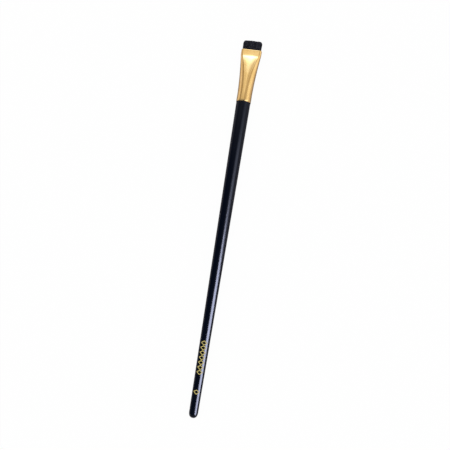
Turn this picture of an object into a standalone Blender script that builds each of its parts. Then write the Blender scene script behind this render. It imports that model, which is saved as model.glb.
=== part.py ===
"""A flat eyeliner brush, resting on a table with its bristles towards +Y.

Every piece is modelled about the brush's own axis, with y = 0 at the rounded end of the handle. The ferrule
is a round tube pressed flat towards its mouth, flat sides up and down, so the way round it is as long at the
mouth as at the handle. The hair is a bundle that is tied, glued in, and fans out to fill the mouth.
"""

import math
import random
from typing import NamedTuple

import bmesh
import bpy
from mathutils import Vector

# Handle, turned from wood, with a tenon inside the ferrule
HANDLE_LENGTH = 0.1425
TAIL_DIAMETER = 0.00386
SHOULDER_DIAMETER = 0.00622
TAIL_ROUNDING = 0.00145
TENON_LENGTH = 0.0062
TENON_CHAMFER = 0.0005
GLUE_GROOVE_START = 0.0020
GLUE_GROOVE_WIDTH = 0.0018
GLUE_GROOVE_DEPTH = 0.0005

# Ferrule, a round tube pressed flat at its mouth
FERRULE_DIAMETER = 0.0065
FERRULE_WALL = 0.0003
FERRULE_LENGTH = 0.0233
PRESS_START = 0.0025
PRESS_POWER = 1.7
CREASE_LENGTH = 0.0009
CREASE_BOW = 0.0010
BOW_REACH = 0.0040
BAND_LENGTH = 0.0022
MOUTH_THICKNESS = 0.0020
LIP_LENGTH = 0.0007
LIP_FLARE = 0.00006
RIM_ROUNDING = 0.00006

# Hair, from the mouth outwards and inwards
HAIR_LENGTH_OUT = 0.0040
HAIR_FREE_INSIDE = 0.0011
HAIR_FAN_LENGTH = 0.0049
TIE_LENGTH = 0.0023
ROOT_END_LENGTH = 0.0012
TIE_WIDTH = 0.0042
TIE_THICKNESS = 0.0020
TIP_WIDTH = 0.0080
TIP_THICKNESS = 0.00075
TIP_CORNER_RADIUS = 0.0009
TIP_CROWN = 0.00015
TIP_RAGGEDNESS = 0.00012
STRAND_ROWS = 7
STRAND_COLUMNS = 52
STRAND_GAP = 0.00003
END_ROUNDNESS = 0.97
STRAND_TIP_SHARE = 0.6
STRAND_LEAN_SHARE = 0.15
STRAND_SEED = 7

# Binding thread and resin
THREAD_DIAMETER = 0.00035
THREAD_GAP = 0.00015
THREAD_TURNS = 4
RESIN_BACK_LENGTH = 0.0022
RESIN_FRONT_LENGTH = 0.0026

# Running gap between neighbouring pieces
CLEARANCE = 0.0001

# Facets and sections. Side counts put a flat facet underneath, so the brush doesn't rest on an edge
HANDLE_SIDES = 30
TAIL_STEPS = 6
FERRULE_SIDES = 56
PRESS_STEPS = 8
CREASE_STEPS = 7
LIP_STEPS = 2
RESIN_SIDES = 24
POCKET_SIDES = 40
POCKET_FAN_STEPS = 4
THREAD_STEPS = 24
CUTTER_OVERRUN = 0.0005
MERGE_DISTANCE = 0.000001
SHARP_ANGLE = math.radians(35)
RIM_ANGLE = math.radians(60)

# Places along the axis
FERRULE_START = HANDLE_LENGTH + CLEARANCE
FERRULE_MOUTH = FERRULE_START + FERRULE_LENGTH
BAND_START = FERRULE_MOUTH - BAND_LENGTH
CREASE_START = BAND_START - CREASE_LENGTH
CREASE_BACK = CREASE_START - CREASE_BOW
LIP_START = FERRULE_MOUTH - LIP_LENGTH
HAIR_SLICE = FERRULE_MOUTH - HAIR_FREE_INSIDE
TIE_FRONT = CREASE_BACK - HAIR_FAN_LENGTH
TIE_BACK = TIE_FRONT - TIE_LENGTH
ROOT_END = TIE_BACK - ROOT_END_LENGTH
RESIN_BACK = ROOT_END - RESIN_BACK_LENGTH
RESIN_FRONT = TIE_FRONT + RESIN_FRONT_LENGTH
TENON_END = HANDLE_LENGTH + TENON_LENGTH


class Finish(NamedTuple):
    """Colour and gloss of one material."""

    colour: tuple
    roughness: float
    metallic: float = 0.0


BLACK_LACQUER = Finish((0.006, 0.008, 0.016), 0.18)
GOLD_METAL = Finish((0.86, 0.64, 0.32), 0.24, metallic=1.0)
BLACK_HAIR = Finish((0.012, 0.013, 0.018), 0.55)
UNDYED_THREAD = Finish((0.55, 0.52, 0.45), 0.8)
HANDLE_ADHESIVE = Finish((0.62, 0.52, 0.3), 0.35)
CAST_RESIN = Finish((0.72, 0.6, 0.36), 0.3)


def blend(start, end, share):
    """Value part of the way from start to end."""
    return start + (end - start) * share


def ferrule_thickness(y):
    """Outer thickness of the tube at y: round, pressed more and more, an eased crease and a flat band."""
    press_length = CREASE_START - FERRULE_START - PRESS_START
    share_at_crease = 1 / (1 + PRESS_POWER * CREASE_LENGTH / (2 * press_length))
    if y >= BAND_START:
        share = 1
    elif y >= CREASE_START:
        share = 1 - (1 - share_at_crease) * ((BAND_START - y) / CREASE_LENGTH) ** 2
    else:
        run = max(0, y - FERRULE_START - PRESS_START) / press_length
        share = share_at_crease * run**PRESS_POWER
    return blend(FERRULE_DIAMETER, MOUTH_THICKNESS, share)


def ferrule_width(y):
    """Outer width at y. The metal round the tube doesn't stretch, so it widens as it gets thinner."""
    thickness = ferrule_thickness(y)
    return (math.pi * FERRULE_DIAMETER - (math.pi - 2) * thickness) / 2


def inner_radius(y):
    """Half of the ferrule's inner thickness at y."""
    return ferrule_thickness(y) / 2 - FERRULE_WALL


def strip_point(share, width, thickness, offset=0):
    """Point (x, z) at a share of the way round a strip with round ends, moved outwards by an offset.

    The way round starts in the middle of the top side and runs towards +X.
    """
    radius = thickness / 2
    half_flat = (width - thickness) / 2
    arc = math.pi * radius
    way = share * (4 * half_flat + 2 * arc)
    if way < half_flat:
        return way, radius + offset
    way -= half_flat
    if way < arc:
        turn = way / radius
        return half_flat + (radius + offset) * math.sin(turn), (radius + offset) * math.cos(turn)
    way -= arc
    if way < 2 * half_flat:
        return half_flat - way, -radius - offset
    way -= 2 * half_flat
    if way < arc:
        turn = way / radius
        return -half_flat - (radius + offset) * math.sin(turn), -(radius + offset) * math.cos(turn)
    return way - arc - half_flat, radius + offset


def strip_ring(y, sides, width, thickness, offset=0):
    """Closed section of a strip at y, turned half a side so that flat facets lie on top and underneath."""
    points = (strip_point((i + 0.5) / sides, width, thickness, offset) for i in range(sides))
    return [(x, y, z) for x, z in points]


def pressed_ahead(y, across):
    """How far ahead the press is at y, across being 0 in the middle of the flat side and 1 at its ends.

    It is furthest ahead in the middle, so the crease bows back there and the panel is slightly dished.
    """
    reach = max(0, 1 - max(0, CREASE_START - y) / BOW_REACH)
    return CREASE_BOW * reach**2 * max(0, 1 - across**2)


def ferrule_ring(y, sides, offset=0):
    """Section of the ferrule's outside at y, moved outwards by an offset."""
    width = ferrule_width(y)
    thickness = ferrule_thickness(y)
    ring = []
    for x, _, z in strip_ring(y, sides, width, thickness, offset):
        pressed = ferrule_thickness(y + pressed_ahead(y, 2 * x / width))
        ring.append((x, y, z * (pressed + 2 * offset) / (thickness + 2 * offset)))
    return ring


def stations(start, end, steps):
    """Evenly spaced places from start up to, and without, end."""
    return [blend(start, end, i / steps) for i in range(steps)]


def skin(bm, rings, close_ends=True):
    """Join rings of matching points, from back to front, with faces that point outwards."""
    loops = [[bm.verts.new(point) for point in ring] for ring in rings]
    for back, front in zip(loops, loops[1:]):
        for i, vertex in enumerate(back):
            j = (i + 1) % len(back)
            bm.faces.new((vertex, back[j], front[j], front[i]))
    if close_ends:
        bm.faces.new(reversed(loops[0]))
        bm.faces.new(loops[-1])


def new_collection(name):
    """Collection linked to the scene."""
    collection = bpy.data.collections.new(name)
    bpy.context.scene.collection.children.link(collection)
    return collection


def new_object(name, data, collection, axis):
    """Object that rides on the brush's axis."""
    thing = bpy.data.objects.new(name, data)
    thing.parent = axis
    collection.objects.link(thing)
    return thing


def new_mesh(name, bm):
    """Mesh from a finished bmesh."""
    mesh = bpy.data.meshes.new(name)
    bm.to_mesh(mesh)
    bm.free()
    return mesh


def set_material(thing, finish):
    """Give an object a Principled material of its own."""
    material = bpy.data.materials.new(thing.name + "_finish")
    material.use_nodes = True
    shader = material.node_tree.nodes["Principled BSDF"]
    shader.inputs["Base Color"].default_value = (*finish.colour, 1)
    shader.inputs["Roughness"].default_value = finish.roughness
    shader.inputs["Metallic"].default_value = finish.metallic
    thing.data.materials.append(material)


def shade_round(thing):
    """Shade a lofted piece smooth, with its real edges kept."""
    thing.data.shade_smooth()
    thing.data.set_sharp_from_angle(angle=SHARP_ANGLE)


def turned(name, profile, sides, collection, axis, closed=False):
    """Piece turned about the brush's axis from (radius, y) points that run from the front to the back."""
    bm = bmesh.new()
    vertices = [bm.verts.new((radius, 0, y)) for radius, y in profile]
    for start, end in zip(vertices, vertices[1:]):
        bm.edges.new((start, end))
    if closed:
        bm.edges.new((vertices[-1], vertices[0]))
    thing = new_object(name, new_mesh(name, bm), collection, axis)
    thing.rotation_euler.x = -math.pi / 2
    screw = thing.modifiers.new("turn", "SCREW")
    screw.steps = sides
    screw.render_steps = sides
    screw.use_merge_vertices = True
    screw.merge_threshold = MERGE_DISTANCE
    screw.use_smooth_shade = True
    return thing


def tenon_radius(y):
    """Radius of the tenon at y, which follows the inside of the ferrule."""
    return inner_radius(y) - CLEARANCE


def handle_outside():
    """(radius, y) points of the visible handle, from the shoulder to the middle of the rounded end."""
    taper = (SHOULDER_DIAMETER - TAIL_DIAMETER) / 2 / HANDLE_LENGTH
    points = [(SHOULDER_DIAMETER / 2, HANDLE_LENGTH)]
    for i in range(TAIL_STEPS + 1):
        turn = math.pi / 2 * i / TAIL_STEPS
        y = TAIL_ROUNDING * (1 - math.sin(turn))
        points.append(((TAIL_DIAMETER / 2 + taper * y) * math.cos(turn), y))
    return points


def glue_groove():
    """Front and back places of the tenon's glue groove, and the radius of its floor."""
    back = HANDLE_LENGTH + GLUE_GROOVE_START
    front = back + GLUE_GROOVE_WIDTH
    return front, back, tenon_radius(front) - GLUE_GROOVE_DEPTH


def make_handle(collection, axis):
    """Handle, one turned piece with its tenon and glue groove."""
    front, back, floor = glue_groove()
    end_radius = tenon_radius(TENON_END)
    profile = [
        (0, TENON_END),
        (end_radius - TENON_CHAMFER, TENON_END),
        (end_radius, TENON_END - TENON_CHAMFER),
        (tenon_radius(front), front),
        (floor, front),
        (floor, back),
        (tenon_radius(back), back),
        (tenon_radius(HANDLE_LENGTH), HANDLE_LENGTH),
    ]
    handle = turned("handle", profile + handle_outside(), HANDLE_SIDES, collection, axis)
    set_material(handle, BLACK_LACQUER)
    return handle


def make_handle_glue(collection, axis):
    """Ring of adhesive that fills the tenon's glue groove."""
    front, back, floor = glue_groove()
    front -= CLEARANCE
    back += CLEARANCE
    outside = tenon_radius(front)
    inside = floor + CLEARANCE
    profile = [(inside, front), (outside, front), (outside, back), (inside, back)]
    glue = turned("handle_glue", profile, HANDLE_SIDES, collection, axis, closed=True)
    set_material(glue, HANDLE_ADHESIVE)
    return glue


def make_ferrule(collection, axis):
    """Ferrule: its outside is a loft from round to flat, its wall and rounded rims come from modifiers."""
    places = stations(FERRULE_START + PRESS_START, CREASE_BACK, PRESS_STEPS)
    places += stations(CREASE_BACK, BAND_START, CREASE_STEPS)
    rings = [ferrule_ring(FERRULE_START, FERRULE_SIDES)]
    rings += [ferrule_ring(y, FERRULE_SIDES) for y in [*places, BAND_START]]
    for i in range(LIP_STEPS + 1):
        share = i / LIP_STEPS
        flare = LIP_FLARE * math.sin(share * math.pi / 2)
        rings.append(ferrule_ring(blend(LIP_START, FERRULE_MOUTH, share), FERRULE_SIDES, flare))
    bm = bmesh.new()
    skin(bm, rings, close_ends=False)
    ferrule = new_object("ferrule", new_mesh("ferrule", bm), collection, axis)
    wall = ferrule.modifiers.new("wall", "SOLIDIFY")
    wall.thickness = FERRULE_WALL
    wall.offset = -1
    wall.use_even_offset = True
    rims = ferrule.modifiers.new("rims", "BEVEL")
    rims.width = RIM_ROUNDING
    rims.segments = 1
    rims.limit_method = "ANGLE"
    rims.angle_limit = RIM_ANGLE
    set_material(ferrule, GOLD_METAL)
    shade_round(ferrule)
    return ferrule


def bundle_size(y):
    """Width and thickness of the hair at y: even in its tie, a fan up to the crease, then a full mouth."""
    inset = 2 * (FERRULE_WALL + CLEARANCE)
    full_width = ferrule_width(max(y, CREASE_BACK)) - inset
    full_thickness = MOUTH_THICKNESS - inset
    share = min(1, max(0, (y - TIE_FRONT) / HAIR_FAN_LENGTH))
    return blend(TIE_WIDTH, full_width, share), blend(TIE_THICKNESS, full_thickness, share)


def cell_corner(column, row, width, thickness):
    """Corner (x, z) of a strand's cell.

    The cells form a grid. Its two ends are rounded, by squeezing the cells there over one thickness.
    """
    level = 2 * row / STRAND_ROWS - 1
    x = width / 2 * (2 * column / STRAND_COLUMNS - 1)
    inset = thickness / 2 * (1 - math.sqrt(1 - (END_ROUNDNESS * level) ** 2))
    squeeze = max(0, 1 - (width / 2 - abs(x)) / thickness)
    return x - math.copysign(inset * squeeze, x), thickness / 2 * level


def grid_outline():
    """(column, row) corners round the grid of cells, in order."""
    outline = [(column, 0) for column in range(STRAND_COLUMNS)]
    outline += [(STRAND_COLUMNS, row) for row in range(STRAND_ROWS)]
    outline += [(column, STRAND_ROWS) for column in range(STRAND_COLUMNS, 0, -1)]
    outline += [(0, row) for row in range(STRAND_ROWS, 0, -1)]
    return outline


def tip_drop(x, z):
    """How far short of the longest tips the cut hair ends at (x, z): rounded corners and a slight crown."""
    past_corner = max(0, abs(x) - (TIP_WIDTH / 2 - TIP_CORNER_RADIUS))
    past_corner = min(past_corner, TIP_CORNER_RADIUS)
    corner = TIP_CORNER_RADIUS - math.sqrt(TIP_CORNER_RADIUS**2 - past_corner**2)
    return corner + TIP_CROWN * (2 * z / TIP_THICKNESS) ** 2


def draw_out_strand(tip, width, thickness, chance):
    """Move the end face of one strand from the glued slice out to its own cut tip.

    The lean is a small share of a cell, so that a strand never crosses its neighbours.
    """
    centre = tip.calc_center_median()
    x = centre.x * TIP_WIDTH / width
    z = centre.z * TIP_THICKNESS / thickness
    length = HAIR_LENGTH_OUT - tip_drop(x, z) - chance.uniform(0, TIP_RAGGEDNESS)
    x += chance.uniform(-1, 1) * STRAND_LEAN_SHARE * TIP_WIDTH / STRAND_COLUMNS
    z += chance.uniform(-1, 1) * STRAND_LEAN_SHARE * TIP_THICKNESS / STRAND_ROWS
    for vertex in tip.verts:
        reach = (vertex.co - centre) * STRAND_TIP_SHARE
        vertex.co = Vector((x + reach.x, FERRULE_MOUTH + length, z + reach.z))


def make_bristle_tuft(collection, axis):
    """Hair: strands drawn out of the cells of a glued slice, which goes on as the bundle's bound root."""
    bm = bmesh.new()
    width, thickness = bundle_size(HAIR_SLICE)
    corners = {}
    for column in range(STRAND_COLUMNS + 1):
        for row in range(STRAND_ROWS + 1):
            x, z = cell_corner(column, row, width, thickness)
            corners[column, row] = bm.verts.new((x, HAIR_SLICE, z))
    cells = []
    for column in range(STRAND_COLUMNS):
        for row in range(STRAND_ROWS):
            left = corners[column, row], corners[column, row + 1]
            right = corners[column + 1, row + 1], corners[column + 1, row]
            cells.append(bm.faces.new((*left, *right)))

    front = [corners[place] for place in grid_outline()]
    for y in (CREASE_BACK, TIE_FRONT, ROOT_END):
        size = bundle_size(y)
        back = []
        for place in grid_outline():
            x, z = cell_corner(*place, *size)
            back.append(bm.verts.new((x, y, z)))
        for i, vertex in enumerate(front):
            j = (i + 1) % len(front)
            bm.faces.new((vertex, front[j], back[j], back[i]))
        front = back
    bm.faces.new(front)

    bm.normal_update()
    bmesh.ops.inset_individual(bm, faces=cells, thickness=STRAND_GAP / 2, use_even_offset=True)
    drawn = bmesh.ops.extrude_discrete_faces(bm, faces=cells)
    chance = random.Random(STRAND_SEED)
    for tip in drawn["faces"]:
        draw_out_strand(tip, width, thickness, chance)

    tuft = new_object("bristle_tuft", new_mesh("bristle_tuft", bm), collection, axis)
    set_material(tuft, BLACK_HAIR)
    return tuft


def make_binding_thread(collection, axis):
    """Thread wound round the root of the bundle, one unbroken tube."""
    pitch = THREAD_DIAMETER + THREAD_GAP
    start = (TIE_BACK + TIE_FRONT - pitch * THREAD_TURNS) / 2
    offset = CLEARANCE + THREAD_DIAMETER / 2
    curve = bpy.data.curves.new("binding_thread", "CURVE")
    curve.dimensions = "3D"
    curve.bevel_depth = THREAD_DIAMETER / 2
    curve.bevel_resolution = 1
    curve.use_fill_caps = True
    spline = curve.splines.new("POLY")
    count = THREAD_TURNS * THREAD_STEPS
    spline.points.add(count)
    for i in range(count + 1):
        turns = i / THREAD_STEPS
        x, z = strip_point(turns % 1, TIE_WIDTH, TIE_THICKNESS, offset)
        spline.points[i].co = (x, start + pitch * turns, z, 1)
    thread = new_object("binding_thread", curve, collection, axis)
    set_material(thread, UNDYED_THREAD)
    return thread


def make_root_glue(collection, cutters, axis):
    """Plug of resin in the ferrule, with a pocket that the tied root of the hair sits in."""
    inset = -FERRULE_WALL - CLEARANCE
    bm = bmesh.new()
    places = [*stations(RESIN_BACK, RESIN_FRONT, PRESS_STEPS), RESIN_FRONT]
    skin(bm, [ferrule_ring(y, RESIN_SIDES, inset) for y in places])
    resin = new_object("root_glue", new_mesh("root_glue", bm), collection, axis)

    round_thread = THREAD_DIAMETER + 2 * CLEARANCE
    mouth = RESIN_FRONT + CUTTER_OVERRUN
    steps = [
        (ROOT_END - CLEARANCE, CLEARANCE),
        (TIE_BACK - CLEARANCE, CLEARANCE),
        (TIE_BACK, round_thread),
        (TIE_FRONT, round_thread),
    ]
    steps += [(y, CLEARANCE) for y in [*stations(TIE_FRONT + CLEARANCE, mouth, POCKET_FAN_STEPS), mouth]]
    bm = bmesh.new()
    skin(bm, [strip_ring(y, POCKET_SIDES, *bundle_size(y), offset) for y, offset in steps])
    pocket = new_object("root_pocket_cutter", new_mesh("root_pocket_cutter", bm), cutters, axis)
    pocket.hide_render = True
    pocket.display_type = "WIRE"

    cut = resin.modifiers.new("root_pocket", "BOOLEAN")
    cut.operation = "DIFFERENCE"
    cut.solver = "EXACT"
    cut.object = pocket
    set_material(resin, CAST_RESIN)
    shade_round(resin)
    return resin


def resting_slope():
    """Slope of the axis when the brush rests on the ferrule's round end and on the handle's rounded end."""
    seat = FERRULE_DIAMETER / 2 * math.cos(math.pi / FERRULE_SIDES)
    facet = math.cos(math.pi / HANDLE_SIDES)
    seat_y = FERRULE_START + RIM_ROUNDING
    return min((seat - radius * facet) / (seat_y - y) for radius, y in handle_outside())


def lay_on_table(axis, pieces):
    """Tilt the brush to its rest and put the middle of its underside at the origin."""
    axis.rotation_euler.x = math.atan(resting_slope())
    bpy.context.view_layer.update()
    depsgraph = bpy.context.evaluated_depsgraph_get()
    points = []
    for piece in pieces:
        shape = piece.evaluated_get(depsgraph)
        points += [shape.matrix_world @ vertex.co for vertex in shape.to_mesh().vertices]
        shape.to_mesh_clear()
    middle_x = (min(p.x for p in points) + max(p.x for p in points)) / 2
    middle_y = (min(p.y for p in points) + max(p.y for p in points)) / 2
    axis.location = (-middle_x, -middle_y, -min(p.z for p in points))
    bpy.context.view_layer.update()


def main():
    """Clear the scene and build the brush."""
    for thing in list(bpy.data.objects):
        bpy.data.objects.remove(thing, do_unlink=True)
    parts = new_collection("eyeliner_brush")
    cutters = new_collection("eyeliner_brush_cutters")
    axis = bpy.data.objects.new("brush_axis", None)
    parts.objects.link(axis)
    pieces = [
        make_handle(parts, axis),
        make_handle_glue(parts, axis),
        make_ferrule(parts, axis),
        make_bristle_tuft(parts, axis),
        make_binding_thread(parts, axis),
        make_root_glue(parts, cutters, axis),
    ]
    lay_on_table(axis, pieces)


main()
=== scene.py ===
"""Looks of a flat eyeliner brush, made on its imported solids.

The handle, the ferrule and the hair get finer meshes that stand where their solids stand. The pieces inside the
ferrule keep their solids and get finishes. A camera, a pale floor, one softbox and the air round them are the studio.
Lengths are in metres and angles in radians, unless a name says otherwise.
"""
import logging
import math
from dataclasses import astuple, dataclass
from enum import Enum
from typing import Any, Callable, Iterable, Mapping, Sequence, Union

import bmesh
import bpy
import numpy as np
from mathutils import Matrix, Vector


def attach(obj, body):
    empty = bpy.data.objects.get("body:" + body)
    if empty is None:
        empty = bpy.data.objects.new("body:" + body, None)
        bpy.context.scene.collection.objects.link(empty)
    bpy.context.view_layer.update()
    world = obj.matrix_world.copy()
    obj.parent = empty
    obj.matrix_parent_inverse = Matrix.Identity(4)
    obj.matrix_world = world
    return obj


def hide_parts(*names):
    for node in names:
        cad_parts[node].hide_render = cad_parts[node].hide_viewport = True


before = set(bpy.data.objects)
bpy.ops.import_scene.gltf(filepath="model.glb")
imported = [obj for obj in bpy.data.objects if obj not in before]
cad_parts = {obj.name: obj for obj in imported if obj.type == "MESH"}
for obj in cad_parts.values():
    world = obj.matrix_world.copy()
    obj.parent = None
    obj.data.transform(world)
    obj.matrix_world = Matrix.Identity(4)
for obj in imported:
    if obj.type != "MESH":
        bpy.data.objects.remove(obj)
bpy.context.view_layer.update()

LOG = logging.getLogger("eyeliner_brush")
ROOT_BODY = "root"
MERGE_DISTANCE = 1e-7
CORNER_DIGITS = 7  # Digits of a metre to which the corners of a solid are told apart.
MIX_SHARE, MIX_FIRST, MIX_SECOND, MIX_RESULT = 0, 6, 7, 2  # Sockets of a Mix node for colours.

Colour = tuple[float, float, float]
Place = tuple[float, float, float]
Edge = tuple[float, float]
Socket = bpy.types.NodeSocket


class Gloss(Enum):
    """How smooth a finish is, as a Principled roughness."""

    POLISHED = 0.2
    SATIN = 0.3
    SILKY = 0.45
    RAW = 0.85


class Node(Enum):
    """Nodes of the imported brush."""

    HANDLE = "handle"
    HANDLE_GLUE = "handle_glue"
    FERRULE = "ferrule"
    TUFT = "bristle_tuft"
    THREAD = "binding_thread"
    ROOT_GLUE = "root_glue"


def operator(operation: str, swapped: bool = False) -> Callable[..., "Number"]:
    """A method of Number that adds one Math node.

    Args:
        operation: Blender's name for the operation.
        swapped: Whether the number itself comes last, as in 1 - number.

    Returns:
        The method.
    """

    def method(self: "Number", *others: "Value") -> "Number":
        """Add the node and give its result."""
        values = (*others, self) if swapped else (self, *others)
        return self.tree.number("ShaderNodeMath", {"operation": operation}, dict(enumerate(values)))

    return method


class Number:
    """A number in a node tree. An expression on it adds the Math nodes that work it out."""

    def __init__(self, tree: "Tree", socket: Socket) -> None:
        """Wrap a socket of a tree."""
        self.tree = tree
        self.socket = socket

    __add__ = __radd__ = operator("ADD")
    __sub__ = operator("SUBTRACT")
    __rsub__ = operator("SUBTRACT", swapped=True)
    __mul__ = __rmul__ = operator("MULTIPLY")
    __truediv__ = operator("DIVIDE")
    __rtruediv__ = operator("DIVIDE", swapped=True)
    __pow__ = operator("POWER")
    __mod__ = operator("FLOORED_MODULO")
    __abs__ = operator("ABSOLUTE")
    least = operator("MINIMUM")
    most = operator("MAXIMUM")
    root = operator("SQRT")
    floor = operator("FLOOR")
    sign = operator("SIGN")
    sine = operator("SINE")
    cosine = operator("COSINE")
    arctan2 = operator("ARCTAN2")

    def within(self, low: "Value", high: "Value") -> "Number":
        """Itself, kept between two limits."""
        return self.most(low).least(high)

    def rise(self, low: "Value", high: "Value") -> "Number":
        """Share from 0 to 1 as it goes from one value to another, eased at both ends.

        Args:
            low: Where the share is 0.
            high: Where the share is 1.

        Returns:
            The share.
        """
        share = ((self - low) / (high - low)).within(0.0, 1.0)
        return share * share * (3.0 - 2.0 * share)


Value = Union[Number, float, int]


def kept(value: Value, low: float, high: float) -> Value:
    """A value or a number, kept between two limits."""
    return value.within(low, high) if isinstance(value, Number) else min(high, max(low, value))


class Tree:
    """A node tree under construction."""

    def __init__(self, tree: bpy.types.NodeTree) -> None:
        """Start with the tree emptied."""
        self.tree = tree
        tree.nodes.clear()

    def node(
        self,
        kind: str,
        settings: Mapping[str, Any] | None = None,
        inputs: Mapping[str | int, Any] | None = None,
    ) -> bpy.types.Node:
        """Add a node.

        Args:
            kind: Blender's name for the type of node.
            settings: Its properties, which are set first.
            inputs: Plain values, sockets or numbers, by the name or the place of their sockets.

        Returns:
            The new node.
        """
        made = self.tree.nodes.new(kind)
        for name, value in (settings or {}).items():
            setattr(made, name, value)
        for name, value in (inputs or {}).items():
            self.feed(made.inputs[name], value)
        return made

    def number(
        self,
        kind: str,
        settings: Mapping[str, Any] | None = None,
        inputs: Mapping[str | int, Any] | None = None,
        output: int = 0,
    ) -> Number:
        """The number that a new node gives, by the place of its output."""
        return Number(self, self.node(kind, settings, inputs).outputs[output])

    def feed(self, socket: Socket, value: Any) -> None:
        """Link a socket or a number to an input, or set its plain value.

        Args:
            socket: The input.
            value: What goes into it.
        """
        if isinstance(value, Number):
            value = value.socket
        if isinstance(value, Socket):
            self.tree.links.new(value, socket)
        else:
            socket.default_value = value

    def parts(self, vector: Socket) -> tuple[Number, Number, Number]:
        """The three numbers of a vector."""
        outputs = self.node("ShaderNodeSeparateXYZ", inputs={0: vector}).outputs
        return tuple(Number(self, output) for output in outputs)

    def vector(self, x: Value, y: Value, z: Value) -> Socket:
        """A vector of three numbers."""
        return self.node("ShaderNodeCombineXYZ", inputs={0: x, 1: y, 2: z}).outputs[0]

    def mix(self, share: Value, first: Any, second: Any) -> Socket:
        """Mix two colours.

        Args:
            share: Share of the second colour.
            first: A colour, plain or as a socket.
            second: Another.

        Returns:
            The mixed colour.
        """
        first, second = ((*c, 1.0) if isinstance(c, tuple) else c for c in (first, second))
        inputs = {MIX_SHARE: share, MIX_FIRST: first, MIX_SECOND: second}
        return self.node("ShaderNodeMix", {"data_type": "RGBA"}, inputs).outputs[MIX_RESULT]

    def layered(self, colour: Any, *layers: tuple[Value, Colour]) -> Any:
        """Lay colours on another, one after the other.

        Args:
            colour: What lies underneath, plain or as a socket.
            layers: Each colour that is laid on, after its share.

        Returns:
            The mixed colour.
        """
        for share, layer in layers:
            colour = self.mix(share, colour, layer)
        return colour

    def ray(self, kind: str) -> Socket:
        """Whether a ray is of a kind, by its name on the Light Path node."""
        return self.node("ShaderNodeLightPath").outputs[kind]

    def open_view(self) -> Number:
        """Whether a ray is the camera's own, straight or through glass."""
        return Number(self, self.ray("Is Camera Ray")).most(self.ray("Is Transmission Ray"))


@dataclass(frozen=True)
class Grain:
    """Cloudy noise on a surface, and the marks that it makes.

    Attributes:
        scale: Clouds per metre.
        detail: How many finer layers it has.
        roughness: How strong the finer layers are.
        along: Factor on its scale along the brush, below 1 where the clouds are streaks.
        edge: Noise at which a mark starts and at which it is full.
        dulling: Roughness that a mark adds.
        depth: Depth of a mark.
    """

    scale: float
    detail: float
    roughness: float = 0.5
    along: float = 1.0
    edge: Edge = (0.0, 1.0)
    dulling: float = 0.0
    depth: float = 0.0


class Surface(Tree):
    """A material with one Principled shader. Values that are the same all over sit on the shader's own sockets."""

    def __init__(self, name: str, plain: Mapping[str, Any], slope: float = 0.0) -> None:
        """Make the material.

        Args:
            name: The material's name.
            plain: Values of the Principled shader's sockets.
            slope: Slope of the axis that its patterns follow.
        """
        self.slope = slope
        self.material = bpy.data.materials.new(name)
        self.material.use_nodes = True
        super().__init__(self.material.node_tree)
        self.shader = self.node("ShaderNodeBsdfPrincipled", inputs=plain)
        self.node("ShaderNodeOutputMaterial", inputs={"Surface": self.shader.outputs[0]})

    def place(self, along: float = 1.0) -> Socket:
        """Object coordinates in line with the axis.

        Args:
            along: Factor on those along it.

        Returns:
            The coordinates.
        """
        where = self.node("ShaderNodeTexCoord").outputs["Object"]
        inputs = {"Vector": where, "Rotation": (-self.slope, 0.0, 0.0), "Scale": (1.0, along, 1.0)}
        return self.node("ShaderNodeMapping", inputs=inputs).outputs[0]

    def noise(self, grain: Grain) -> Number:
        """Noise from 0 to 1.

        Args:
            grain: Which noise.

        Returns:
            The noise.
        """
        inputs = {"Vector": self.place(grain.along), "Scale": grain.scale}
        inputs |= {"Detail": grain.detail, "Roughness": grain.roughness}
        return self.number("ShaderNodeTexNoise", inputs=inputs)

    def paint(self, share: Number, first: Colour, second: Colour) -> None:
        """Feed the base colour, with a share of the second colour."""
        self.feed(self.shader.inputs["Base Color"], self.mix(share, first, second))

    def polish(self, roughness: Number) -> None:
        """Feed the roughness."""
        self.feed(self.shader.inputs["Roughness"], roughness)

    def relief(self, height: Number, depth: float) -> None:
        """Feed the normal with a bump of a height from 0 to 1, times a depth."""
        bump = self.node("ShaderNodeBump", inputs={"Strength": 1.0, "Distance": depth, "Height": height})
        self.feed(self.shader.inputs["Normal"], bump.outputs[0])


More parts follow.
